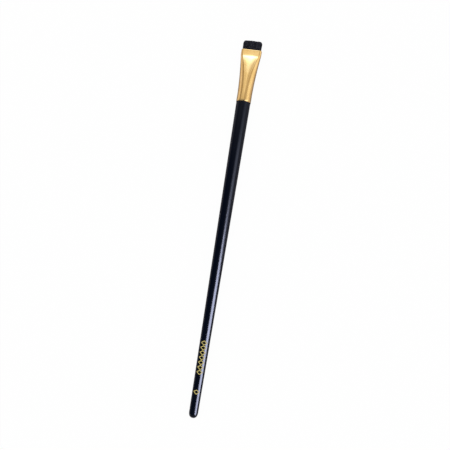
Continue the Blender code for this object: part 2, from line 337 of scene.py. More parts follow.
class ShapeTree(Tree):
    """A Geometry Nodes tree with named inputs, which ends in Realize Instances and Set Material."""

    def __init__(self, name: str, sizes: Mapping[str, float], counts: Mapping[str, int] | None = None) -> None:
        """Make the tree and its inputs.

        Args:
            name: The tree's name.
            sizes: Named lengths, angles and shares, with their values.
            counts: Named whole numbers, with their values.
        """
        group = bpy.data.node_groups.new(name, "GeometryNodeTree")
        group.is_modifier = True
        super().__init__(group)
        self.values = {**sizes, **(counts or {})}
        group.interface.new_socket("Geometry", in_out="INPUT", socket_type="NodeSocketGeometry")
        group.interface.new_socket("Geometry", in_out="OUTPUT", socket_type="NodeSocketGeometry")
        for kind, values in (("NodeSocketFloat", sizes), ("NodeSocketInt", counts or {})):
            for key, value in values.items():
                socket = group.interface.new_socket(key, in_out="INPUT", socket_type=kind)
                socket.default_value = value
        self.given = self.node("NodeGroupInput")

    def size(self, name: str) -> Number:
        """A named input."""
        return Number(self, self.given.outputs[name])

    def position(self) -> tuple[Number, Number, Number]:
        """Where each point is."""
        return self.parts(self.node("GeometryNodeInputPosition").outputs[0])

    def moved(self, geometry: Socket, x: Value, y: Value, z: Value) -> Socket:
        """Put each point of a geometry somewhere else."""
        inputs = {"Geometry": geometry, "Position": self.vector(x, y, z)}
        return self.node("GeometryNodeSetPosition", inputs=inputs).outputs[0]

    def stored(self, geometry: Socket, name: str, vector: Socket) -> Socket:
        """Keep a vector on each point of a geometry.

        Args:
            geometry: The points.
            name: What it is kept under.
            vector: The vector.

        Returns:
            The geometry with it.
        """
        settings = {"data_type": "FLOAT_VECTOR", "domain": "POINT"}
        inputs = {"Geometry": geometry, "Name": name, "Value": vector}
        return self.node("GeometryNodeStoreNamedAttribute", settings, inputs).outputs[0]

    def recalled(self, name: str) -> tuple[Number, Number, Number]:
        """The vector that is kept under a name."""
        node = self.node("GeometryNodeInputNamedAttribute", {"data_type": "FLOAT_VECTOR"}, {"Name": name})
        return self.parts(node.outputs[0])

    def chance(self, seed: Number) -> Socket:
        """A vector of three random numbers from -1 to 1 for each point."""
        inputs = {"Min": (-1.0, -1.0, -1.0), "Max": (1.0, 1.0, 1.0), "Seed": seed}
        return self.node("FunctionNodeRandomValue", {"data_type": "FLOAT_VECTOR"}, inputs).outputs[0]

    def real(self, instances: Socket) -> Socket:
        """Instances turned into plain geometry."""
        return self.node("GeometryNodeRealizeInstances", inputs={0: instances}).outputs[0]

    def end(self, geometry: Socket, material: bpy.types.Material) -> None:
        """Close the tree.

        Args:
            geometry: The finished shape.
            material: What it is made of.
        """
        smooth = self.node("GeometryNodeSetShadeSmooth", inputs={0: self.real(geometry)}).outputs[0]
        dressed = self.node("GeometryNodeSetMaterial", inputs={"Geometry": smooth, "Material": material})
        self.node("NodeGroupOutput", inputs={0: dressed.outputs[0]})

    def grow(self, name: str, mesh: bpy.types.Mesh, axis: "BrushAxis") -> bpy.types.Object:
        """Run the tree on a mesh about the brush's axis and keep the result as a plain mesh.

        Args:
            name: The new piece's name.
            mesh: What the tree starts from.
            axis: Where the brush lies.

        Returns:
            The piece, at the origin of the row frame.
        """
        carrier = new_object(name, mesh)
        modifier = carrier.modifiers.new(name, "NODES")
        modifier.node_group = self.tree
        for item in self.tree.interface.items_tree:
            if item.in_out == "INPUT" and item.name in self.values:
                modifier[item.identifier] = self.values[item.name]
        depsgraph = bpy.context.evaluated_depsgraph_get()
        made = bpy.data.meshes.new_from_object(carrier.evaluated_get(depsgraph))
        carrier.modifiers.remove(modifier)
        made.name = name
        made.transform(axis.matrix)
        carrier.data = made
        return carrier


def node_points(node: Node) -> np.ndarray:
    """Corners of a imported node, in the row frame."""
    return np.array([v.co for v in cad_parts[node.value].data.vertices], float)


@dataclass(frozen=True)
class BrushAxis:
    """The brush's own axis. Along it y is 0 at the rounded end of the handle and grows towards the bristles.

    Attributes:
        tail: The rounded end of the handle, in the row frame.
        slope: Angle of the axis above the table.
    """

    tail: Vector
    slope: float

    @classmethod
    def of_handle(cls) -> "BrushAxis":
        """The axis of the handle's solid, whose corners lie evenly round it.

        Returns:
            The axis, which points to the bristles.
        """
        points = np.unique(node_points(Node.HANDLE).round(CORNER_DIGITS), axis=0)
        middle = points.mean(axis=0)
        along = np.linalg.svd(points - middle, full_matrices=False)[2][0]
        along *= np.sign(along[1])
        tail = middle + ((points - middle) @ along).min() * along
        return cls(Vector(tail), math.atan2(along[2], along[1]))

    @property
    def matrix(self) -> Matrix:
        """Takes a point about the axis to the row frame."""
        return Matrix.Translation(self.tail) @ Matrix.Rotation(self.slope, 4, "X")

    def span(self, node: Node) -> tuple[float, float]:
        """How far a node reaches along the axis.

        Args:
            node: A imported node.

        Returns:
            Where it starts and where it ends.
        """
        along = self.matrix.to_3x3() @ Vector((0.0, 1.0, 0.0))
        places = (node_points(node) - np.array(self.tail)) @ np.array(along)
        return float(places.min()), float(places.max())


def new_object(name: str, data: bpy.types.ID) -> bpy.types.Object:
    """Make an object at the origin.

    Args:
        name: Its name.
        data: Its mesh, camera or light.

    Returns:
        The object, linked to the scene.
    """
    thing = bpy.data.objects.new(name, data)
    bpy.context.scene.collection.objects.link(thing)
    return thing


def finished(piece: bpy.types.Object, node: Node | None = None) -> bpy.types.Object:
    """Say where a piece belongs.

    Args:
        piece: A piece in its place.
        node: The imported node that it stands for, if any.

    Returns:
        The piece.
    """
    if node:
        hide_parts(node.value)
    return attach(piece, ROOT_BODY)


def blend(start: float, end: float, share: float) -> float:
    """Value part of the way from start to end."""
    return start + (end - start) * share


def steps(start: float, end: float, count: int) -> list[float]:
    """Evenly spaced places from start up to, and without, end."""
    return [blend(start, end, i / count) for i in range(count)]


def rounding(
    centre: tuple[float, float], radius: float, start: float, end: float, count: int
) -> list[tuple[float, float]]:
    """Points (radius, y) of a rounded edge of a turned profile.

    Args:
        centre: Middle of the rounding.
        radius: Its radius.
        start: Angle of its first point, 0 being outwards and a quarter turn towards the bristles.
        end: Angle of its last point.
        count: Steps between them.

    Returns:
        The points, both ends included.
    """
    angles = [blend(start, end, i / count) for i in range(count + 1)]
    return [(centre[0] + radius * math.cos(a), centre[1] + radius * math.sin(a)) for a in angles]


def ringed_mesh(name: str, rings: Iterable[Sequence[Place]], closed: bool = False) -> bpy.types.Mesh:
    """Join rings of points.

    Args:
        name: The mesh's name.
        rings: Sections with as many points each. One point is a pole.
        closed: Whether the last ring joins the first. If not, both ends are capped.

    Returns:
        A closed mesh, its faces pointing outwards.
    """
    bm = bmesh.new()
    loops = [[bm.verts.new(point) for point in ring] for ring in rings]
    pairs = list(zip(loops, loops[1:]))
    if closed:
        pairs.append((loops[-1], loops[0]))
    for back, front in pairs:
        for i in range(max(len(back), len(front))):
            corners = [back[i % len(back)], back[(i + 1) % len(back)]]
            corners += [front[(i + 1) % len(front)], front[i % len(front)]]
            bm.faces.new(list(dict.fromkeys(corners)))
    for loop in (loops[0], loops[-1]):
        if not closed and len(loop) > 1:
            bm.faces.new(loop)
    bmesh.ops.recalc_face_normals(bm, faces=bm.faces)
    mesh = bpy.data.meshes.new(name)
    bm.to_mesh(mesh)
    bm.free()
    return mesh


def turned_mesh(name: str, profile: Sequence[tuple[float, float]], sides: int, closed: bool) -> bpy.types.Mesh:
    """Turn a profile about the brush's axis.

    Args:
        name: The mesh's name.
        profile: (radius, y) points. A radius of zero is a pole.
        sides: Steps round the axis.
        closed: Whether the last point joins the first.

    Returns:
        A closed mesh, its faces pointing outwards.
    """
    rings = []
    for radius, y in profile:
        turns = [2 * math.pi * i / sides for i in range(sides if radius > MERGE_DISTANCE else 1)]
        rings.append([(radius * math.sin(a), y, radius * math.cos(a)) for a in turns])
    return ringed_mesh(name, rings, closed)


def shade(mesh: bpy.types.Mesh, sharp_degrees: float = 35.0) -> None:
    """Shade a mesh smooth, with its real edges kept."""
    mesh.shade_smooth()
    mesh.set_sharp_from_angle(angle=math.radians(sharp_degrees))


@dataclass(frozen=True)
class Lacquer:
    """Black gloss lacquer with a faint orange peel and fine rub marks along the handle.

    Attributes:
        base: Its colour.
        worn: Its colour where it is thin.
        specular: How strongly it mirrors.
        clouds: Where it is thin.
        rubs: Rub marks.
        peel: Orange peel.
    """

    base: Colour = (0.0002, 0.0012, 0.0058)
    worn: Colour = (0.0006, 0.0019, 0.0074)
    specular: float = 0.18
    clouds: Grain = Grain(90.0, 3.0, dulling=0.03)
    rubs: Grain = Grain(5200.0, 2.0, along=0.02, edge=(0.55, 0.8), dulling=0.04)
    peel: Grain = Grain(900.0, 1.0, depth=0.0000004)

    def material(self, slope: float) -> bpy.types.Material:
        """Make the finish.

        Args:
            slope: Slope of the axis that it follows.

        Returns:
            The material.
        """
        surface = Surface("black_lacquer", {"IOR": 1.5, "Specular IOR Level": self.specular}, slope)
        clouds = surface.noise(self.clouds)
        rubs = surface.noise(self.rubs).rise(*self.rubs.edge)
        surface.paint(clouds, self.base, self.worn)
        surface.polish(Gloss.POLISHED.value + self.clouds.dulling * clouds + self.rubs.dulling * rubs)
        surface.relief(surface.noise(self.peel), self.peel.depth)
        return surface.material


@dataclass(frozen=True)
class BareWood:
    """Turned birch under no lacquer, on the tenon.

    Attributes:
        early: Colour of the early wood.
        late: Colour of the late wood.
        grain: Streaks of the two.
    """

    early: Colour = (0.58, 0.43, 0.27)
    late: Colour = (0.40, 0.26, 0.14)
    grain: Grain = Grain(3800.0, 4.0, 0.6, along=0.06, edge=(0.3, 0.7), depth=0.00001)

    def material(self, slope: float) -> bpy.types.Material:
        """Make the finish.

        Args:
            slope: Slope of the axis that it follows.

        Returns:
            The material.
        """
        surface = Surface("bare_birch", {"Roughness": Gloss.RAW.value}, slope)
        grain = surface.noise(self.grain)
        surface.paint(grain.rise(*self.grain.edge), self.early, self.late)
        surface.relief(grain, self.grain.depth)
        return surface.material


@dataclass(frozen=True)
class GoldMetal:
    """Gold-coloured anodised metal with fine drawing lines along the tube.

    Attributes:
        pale: Its paler colour.
        deep: Its deeper colour.
        roughness: How rough it is where nothing dulls it.
        clouds: Where its colour is deeper.
        lines: Drawing lines.
    """

    pale: Colour = (0.90, 0.60, 0.24)
    deep: Colour = (0.85, 0.54, 0.19)
    roughness: float = 0.13
    clouds: Grain = Grain(240.0, 3.0, edge=(0.3, 0.7), dulling=0.02)
    lines: Grain = Grain(4200.0, 3.0, 0.6, along=0.012, edge=(0.4, 0.75), dulling=0.04, depth=0.00000015)

    def material(self, slope: float) -> bpy.types.Material:
        """Make the finish.

        Args:
            slope: Slope of the axis that it follows.

        Returns:
            The material.
        """
        surface = Surface("gold_anodised", {"Metallic": 1.0}, slope)
        clouds, lines = surface.noise(self.clouds), surface.noise(self.lines)
        dull_lines = self.lines.dulling * lines.rise(*self.lines.edge)
        surface.paint(clouds.rise(*self.clouds.edge), self.pale, self.deep)
        surface.polish(self.roughness + self.clouds.dulling * clouds + dull_lines)
        surface.relief(lines, self.lines.depth)
        return surface.material


@dataclass(frozen=True)
class GoldInk:
    """Stamped gold ink, matt beside the metal, with small thin specks.

    Attributes:
        pale: Its colour.
        deep: Its colour where it is thin.
        specular: How strongly it mirrors.
        specks: Where it is thin.
        dull_edge: Noise at which a speck starts to be duller and at which it is dullest.
    """

    pale: Colour = (0.80, 0.68, 0.24)
    deep: Colour = (0.56, 0.45, 0.14)
    specular: float = 0.06
    specks: Grain = Grain(9000.0, 3.0, 0.6, edge=(0.35, 0.7), dulling=0.2, depth=0.000002)
    dull_edge: Edge = (0.5, 0.7)

    def material(self) -> bpy.types.Material:
        """Make the finish.

        Returns:
            The material.
        """
        surface = Surface("gold_ink", {"Specular IOR Level": self.specular})
        specks = surface.noise(self.specks)
        surface.paint(specks.rise(*self.specks.edge), self.pale, self.deep)
        surface.polish(Gloss.SILKY.value + self.specks.dulling * specks.rise(*self.dull_edge))
        surface.relief(specks, self.specks.depth)
        return surface.material


@dataclass(frozen=True)
class BlackHair:
    """Black drawn filaments, each a little lighter or darker than the next, and so are their clumps.

    Attributes:
        dark: Colour of the darkest.
        light: Colour of the lightest.
        specular: How strongly they mirror.
        clumps: Where they are lighter.
        streaks: Fine dull streaks along them.
    """

    dark: Colour = (0.007, 0.007, 0.012)
    light: Colour = (0.039, 0.039, 0.053)
    specular: float = 0.24
    clumps: Grain = Grain(1700.0, 1.0, along=0.5, edge=(0.42, 0.6))
    streaks: Grain = Grain(16000.0, 2.0, along=0.15, dulling=0.16)

    def material(self) -> bpy.types.Material:
        """Make the finish.

        Returns:
            The material.
        """
        surface = Surface("black_filament", {"IOR": 1.45, "Specular IOR Level": self.specular})
        stored = surface.node("ShaderNodeAttribute", {"attribute_name": Tuft.CHANCE})
        chance, _, _ = surface.parts(stored.outputs["Vector"])
        clumps = surface.noise(self.clumps).rise(*self.clumps.edge)
        surface.paint(chance.rise(-1.0, 1.0) * clumps, self.dark, self.light)
        surface.polish(Gloss.SILKY.value + self.streaks.dulling * surface.noise(self.streaks))
        return surface.material


@dataclass(frozen=True)
class SetGum:
    """Set glue or resin, amber and slightly cloudy.

    Attributes:
        name: The material's name.
        clear: Colour where it is clear.
        cloudy: Colour of its clouds.
        gloss: How smooth it set.
        clouds: Where it is cloudy.
        dents: Shallow dents where it shrank.
    """

    name: str
    clear: Colour
    cloudy: Colour
    gloss: Gloss
    clouds: Grain = Grain(1400.0, 4.0, 0.6, edge=(0.35, 0.7), dulling=0.15)
    dents: Grain = Grain(2600.0, 2.0, depth=0.00001)

    def material(self) -> bpy.types.Material:
        """Make the finish.

        Returns:
            The material.
        """
        surface = Surface(self.name, {"IOR": 1.5})
        clouds = surface.noise(self.clouds)
        surface.paint(clouds.rise(*self.clouds.edge), self.clear, self.cloudy)
        surface.polish(self.gloss.value + self.clouds.dulling * clouds)
        surface.relief(surface.noise(self.dents), self.dents.depth)
        return surface.material


@dataclass(frozen=True)
class TwistedThread:
    """Undyed thread, its twist shown by slanting ridges with painted shade in the grooves between them.

    Attributes:
        pale: Colour of the ridges.
        shade: Colour between them, a painted shade in the grooves.
        sheen: How strongly its fibres shine.
        ridges: How close the ridges are, as a wave texture's scale.
        wobble: How uneven they are.
        depth: How high they are.
    """

    pale: Colour = (0.62, 0.57, 0.46)
    shade: Colour = (0.36, 0.31, 0.23)
    sheen: float = 0.3
    ridges: float = 2600.0
    wobble: float = 1.5
    depth: float = 0.00003

    def material(self) -> bpy.types.Material:
        """Make the finish.

        Returns:
            The material.
        """
        surface = Surface("twisted_thread", {"Roughness": Gloss.RAW.value, "Sheen Weight": self.sheen})
        settings = {"wave_type": "BANDS", "bands_direction": "DIAGONAL"}
        inputs = {"Vector": surface.place(), "Scale": self.ridges, "Distortion": self.wobble, "Detail": 2.0}
        ridges = surface.number("ShaderNodeTexWave", settings, inputs, output=1)
        # Painted shade: the grooves between the ridges are painted darker than the ridges.
        surface.paint(ridges, self.shade, self.pale)
        surface.relief(ridges, self.depth)
        return surface.material


@dataclass
class Handle:
    """Turned handle: a plain taper with a rounded end, and a tenon with a glue groove inside the ferrule.

    Attributes:
        tail_diameter: Width at the rounded end.
        shoulder_diameter: Width at the ferrule.
        tail_rounding: Length of the rounded end.
        tail_power: How late its rounding grows.
        tail_bluntness: How full its very end is, 0.5 for a dome.
        shoulder_rounding: Radius of the lacquer's edge at the ferrule.
        tenon_chamfer: Chamfer of the tenon's end.
        groove_start: How far in front of the shoulder the glue groove starts.
        groove_width: Its width along the tenon.
        groove_depth: Its depth.
        sides: Steps round the handle.
        tail_steps: Steps along the rounded end.
        rounding_steps: Steps round the lacquer's edge.
        taper_steps: Steps along the taper.
    """

    tail_diameter: float = 0.00403
    shoulder_diameter: float = 0.00630
    tail_rounding: float = 0.0024
    tail_power: float = 2.4
    tail_bluntness: float = 0.36
    shoulder_rounding: float = 0.00012
    tenon_chamfer: float = 0.0005
    groove_start: float = 0.0024
    groove_width: float = 0.0018
    groove_depth: float = 0.0005
    sides: int = 128
    tail_steps: int = 24
    rounding_steps: int = 5
    taper_steps: int = 24

    def radius_at(self, y: float, length: float) -> float:
        """Radius of the taper at y on a handle of a given length."""
        return blend(self.tail_diameter, self.shoulder_diameter, y / length) / 2

    def profile(self, length: float, tenon_radius: float, tenon_end: float) -> list[tuple[float, float]]:
        """Outline from the front of the tenon to the middle of the rounded end.

        Args:
            length: Length of the visible handle.
            tenon_radius: Radius of the tenon.
            tenon_end: Where the tenon ends.

        Returns:
            (radius, y) points.
        """
        groove_back = length + self.groove_start
        groove_front = groove_back + self.groove_width
        floor = tenon_radius - self.groove_depth
        points = [(0.0, tenon_end), (tenon_radius - self.tenon_chamfer, tenon_end)]
        points += [(tenon_radius, tenon_end - self.tenon_chamfer), (tenon_radius, groove_front)]
        points += [(floor, groove_front), (floor, groove_back), (tenon_radius, groove_back)]
        points.append((tenon_radius, length))
        radius = self.shoulder_rounding
        centre = (self.shoulder_diameter / 2 - radius, length - radius)
        points += rounding(centre, radius, math.pi / 2, 0.0, self.rounding_steps)
        for y in steps(length - 2 * radius, self.tail_rounding, self.taper_steps):
            points.append((self.radius_at(y, length), y))
        for i in range(self.tail_steps):
            left = math.sin(math.pi / 2 * i / self.tail_steps)
            y = self.tail_rounding * (1 - left)
            points.append((self.radius_at(y, length) * (1 - left**self.tail_power) ** self.tail_bluntness, y))
        return [*points, (0.0, 0.0)]

    def build(self, axis: BrushAxis, ferrule: "Ferrule") -> bpy.types.Object:
        """Make the handle.

        Args:
            axis: Where the brush lies.
            ferrule: What the tenon fits into.

        Returns:
            The piece.
        """
        _, tenon_end = axis.span(Node.HANDLE)
        tenon_radius = ferrule.diameter / 2 - ferrule.wall - ferrule.clearance
        length = ferrule.handle_length(axis)
        outline = self.profile(length, tenon_radius, tenon_end)
        mesh = turned_mesh("lacquered_handle", outline, self.sides, closed=False)
        mesh.materials.append(Lacquer().material(axis.slope))
        mesh.materials.append(BareWood().material(axis.slope))
        for face in mesh.polygons:
            face.material_index = int(face.center.y > length)
        shade(mesh)
        mesh.transform(axis.matrix)
        return finished(new_object("lacquered_handle", mesh), Node.HANDLE)


@dataclass(frozen=True)
class Pressing:
    """How flat the tube is pressed along it. Its sizes are plain values, or numbers of a node tree.

    Attributes:
        diameter: Width where it is round.
        mouth_thickness: Thickness of the flat band.
        start: Where the pressing starts.
        crease: Where it starts to ease out.
        band: Where the flat band starts.
        power: How late the pressing grows.
    """

    diameter: Value
    mouth_thickness: Value
    start: Value
    crease: Value
    band: Value
    power: Value

    def thickness_at(self, y: Value) -> Value:
        """Outer thickness of the tube.

        Args:
            y: Place along the axis.

        Returns:
            The thickness there.
        """
        length = self.crease - self.start
        fall = self.band - self.crease
        at_crease = 1 / (1 + self.power * fall / (2 * length))
        run = kept((y - self.start) / length, 0.0, 1.0)
        ease = kept((self.band - y) / fall, 0.0, 1.0)
        share = 1 - (1 - at_crease) * ease * ease - at_crease * (1 - run**self.power)
        return self.diameter + (self.mouth_thickness - self.diameter) * share

    def width_at(self, thickness: Value) -> Value:
        """Outer width where the tube has a given thickness."""
        return (math.pi * self.diameter - (math.pi - 2) * thickness) / 2

    def flatness(self, thickness: Value) -> Value:
        """Share from 0, round, to 1, as flat as the mouth."""
        return (self.diameter - thickness) / (self.diameter - self.mouth_thickness)


@dataclass
class Ferrule:
    """Tube that Geometry Nodes press flat towards its mouth. Its way round stays as long as on the round tube.

    Attributes:
        diameter: Width where it is round.
        wall: Thickness of the metal.
        clearance: Gap to what sits inside it and in front of the handle's shoulder.
        back_reach: How far the tube starts before its solid.
        press_start: Length that stays round.
        press_power: How late the pressing grows.
        crease_length: Length over which the press eases out into the band.
        crease_bow: How far back the crease lies in the middle of the flat side.
        bow_reach: Length over which the bow grows.
        crown: How far the pressed sides stand proud in their middle.
        crown_reach: Length before the crease over which the crown fades.
        band_length: Length of the flat band, lip included.
        mouth_thickness: Thickness of the flat band.
        mouth_trim: How much the rounded rim stays behind the end of the solid.
        lip_length: Length of the lip.
        lip_flare: How far the lip stands out.
        outer_rounding: Radius of the lip's outer edge.
        back_rounding: Radius of the outer edge at the handle.
        inner_rounding: Radius of their inner edges.
        sides: Steps round the tube.
        round_steps: Steps along the round part.
        press_steps: Steps along the pressed part.
        crease_steps: Steps along the crease.
        band_steps: Steps along the band.
        lip_steps: Steps along the lip.
        rim_steps: Steps round each rounded edge.
        inner_steps: Steps along each part of the bore.
    """

    PRESSING_INPUTS = ("Diameter", "Mouth Thickness", "Press Place", "Crease Place", "Band Place", "Press Power")

    diameter: float = 0.0065
    wall: float = 0.0003
    clearance: float = 0.0001
    back_reach: float = 0.0004
    press_start: float = 0.0029
    press_power: float = 1.7
    crease_length: float = 0.0015
    crease_bow: float = 0.0010
    bow_reach: float = 0.0040
    crown: float = 0.00021
    crown_reach: float = 0.0012
    band_length: float = 0.0013
    mouth_thickness: float = 0.0020
    mouth_trim: float = 0.0003
    lip_length: float = 0.0007
    lip_flare: float = 0.000015
    outer_rounding: float = 0.00022
    back_rounding: float = 0.000008
    inner_rounding: float = 0.00008
    sides: int = 200
    round_steps: int = 3
    press_steps: int = 56
    crease_steps: int = 30
    band_steps: int = 6
    lip_steps: int = 10
    rim_steps: int = 6
    inner_steps: int = 36

    def handle_length(self, axis: BrushAxis) -> float:
        """Length of the visible handle, which ends just short of the ferrule."""
        return self.back(axis) - self.clearance

    def back(self, axis: BrushAxis) -> float:
        """Where the tube starts, a little before its solid."""
        return axis.span(Node.FERRULE)[0] - self.back_reach

    def crease_back(self, mouth: float) -> float:
        """Where the crease starts in the middle of a flat side."""
        return mouth - self.band_length - self.crease_length - self.crease_bow

    def pressing(self, start: float, mouth: float) -> Pressing:
        """How the tube is pressed.

        Args:
            start: Where the ferrule starts.
            mouth: Where it ends.

        Returns:
            The pressing.
        """
        band = mouth - self.band_length
        crease = band - self.crease_length
        return Pressing(self.diameter, self.mouth_thickness, start + self.press_start, crease, band, self.press_power)

    def tube_profile(self, start: float, mouth: float) -> list[tuple[float, float]]:
        """Outline of the round tube's wall, outside first, then round the mouth's rim to the inside.

        Args:
            start: Where the ferrule starts.
            mouth: Where it ends.

        Returns:
            (radius, y) points of a closed outline.
        """
        radius, outer, inner = self.diameter / 2, self.outer_rounding, self.inner_rounding
        crease_back = self.crease_back(mouth)
        lip = mouth - self.lip_length
        bore = radius - self.wall
        back = self.back_rounding
        places = steps(start + back, start + self.press_start, self.round_steps)[1:]
        places += steps(start + self.press_start, crease_back, self.press_steps)
        places += steps(crease_back, mouth - self.band_length, self.crease_steps)
        places += steps(mouth - self.band_length, lip, self.band_steps)
        points = rounding((radius - back, start + back), back, -math.pi / 2, 0.0, self.rim_steps)
        points += [(radius, y) for y in places]
        for y in steps(lip, mouth - outer, self.lip_steps):
            points.append((radius + self.flare_at(y, mouth), y))
        middle = radius + self.lip_flare - outer
        points += rounding((middle, mouth - outer), outer, 0.0, math.pi / 2, self.rim_steps)
        points += rounding((bore + inner, mouth - inner), inner, math.pi / 2, math.pi, self.rim_steps)
        places = steps(mouth - 2 * inner, crease_back, self.inner_steps)
        places += steps(crease_back, start + 2 * inner, self.inner_steps)
        points += [(bore, y) for y in places]
        points += rounding((bore + inner, start + inner), inner, math.pi, 3 * math.pi / 2, self.rim_steps)
        return points

    def flare_at(self, y: float, mouth: float) -> float:
        """How far the lip stands out at y."""
        share = max(0.0, 1 - (mouth - y) / self.lip_length)
        return self.lip_flare * math.sin(share * math.pi / 2)

    def press(self, start: float, mouth: float, material: bpy.types.Material) -> ShapeTree:
        """Tree that presses a round tube flat.

        Each point keeps its way round and its depth in the wall: its angle on the round tube becomes a place on an
        outline of two flat sides and two round ends.

        Args:
            start: Where the ferrule starts.
            mouth: Where it ends.
            material: What the tube is made of.

        Returns:
            The tree.
        """
        sizes = {
            **dict(zip(self.PRESSING_INPUTS, astuple(self.pressing(start, mouth)))),
            "Crease Bow": self.crease_bow,
            "Bow Reach": self.bow_reach,
            "Crown": self.crown,
            "Crown Reach": self.crown_reach,
        }
        tree = ShapeTree("press_tube_flat", sizes)
        pressing = Pressing(*map(tree.size, self.PRESSING_INPUTS))
        x, y, z = tree.position()
        angle = abs(x).arctan2(z)
        depth = (x * x + z * z).root() - pressing.diameter / 2

        thickness = pressing.thickness_at(y)
        width = pressing.width_at(thickness)
        radius = thickness / 2
        half_flat = (width - thickness) / 2
        way = angle * pressing.diameter / 2
        turn = ((way - half_flat) / radius).within(0.0, math.pi)
        under = (way - half_flat - math.pi * radius).most(0.0)
        across = way.least(half_flat) - under + (radius + depth) * turn.sine()

        reach = (1 - (pressing.crease - y).most(0.0) / tree.size("Bow Reach")).most(0.0)
        middle = (1 - (2 * across / width) ** 2).most(0.0)
        pressed = pressing.thickness_at(y + tree.size("Crease Bow") * reach * reach * middle)
        crown = pressing.flatness(thickness) * (1 - y.rise(pressing.crease - tree.size("Crown Reach"), pressing.band))
        crown = tree.size("Crown") * crown * (1 - (across / half_flat) ** 2).most(0.0)
        height = turn.cosine() * ((radius + depth) * (pressed + 2 * depth) / (thickness + 2 * depth) + crown)
        tree.end(tree.moved(tree.given.outputs["Geometry"], across * x.sign(), y, height), material)
        return tree

    def build(self, axis: BrushAxis) -> bpy.types.Object:
        """Make the ferrule.

        Args:
            axis: Where the brush lies.

        Returns:
            The piece.
        """
        start, mouth = self.back(axis), axis.span(Node.FERRULE)[1] - self.mouth_trim
        tube = turned_mesh("pressed_ferrule", self.tube_profile(start, mouth), self.sides, closed=True)
        tree = self.press(start, mouth, GoldMetal().material(axis.slope))
        return finished(tree.grow("pressed_ferrule", tube, axis), Node.FERRULE)


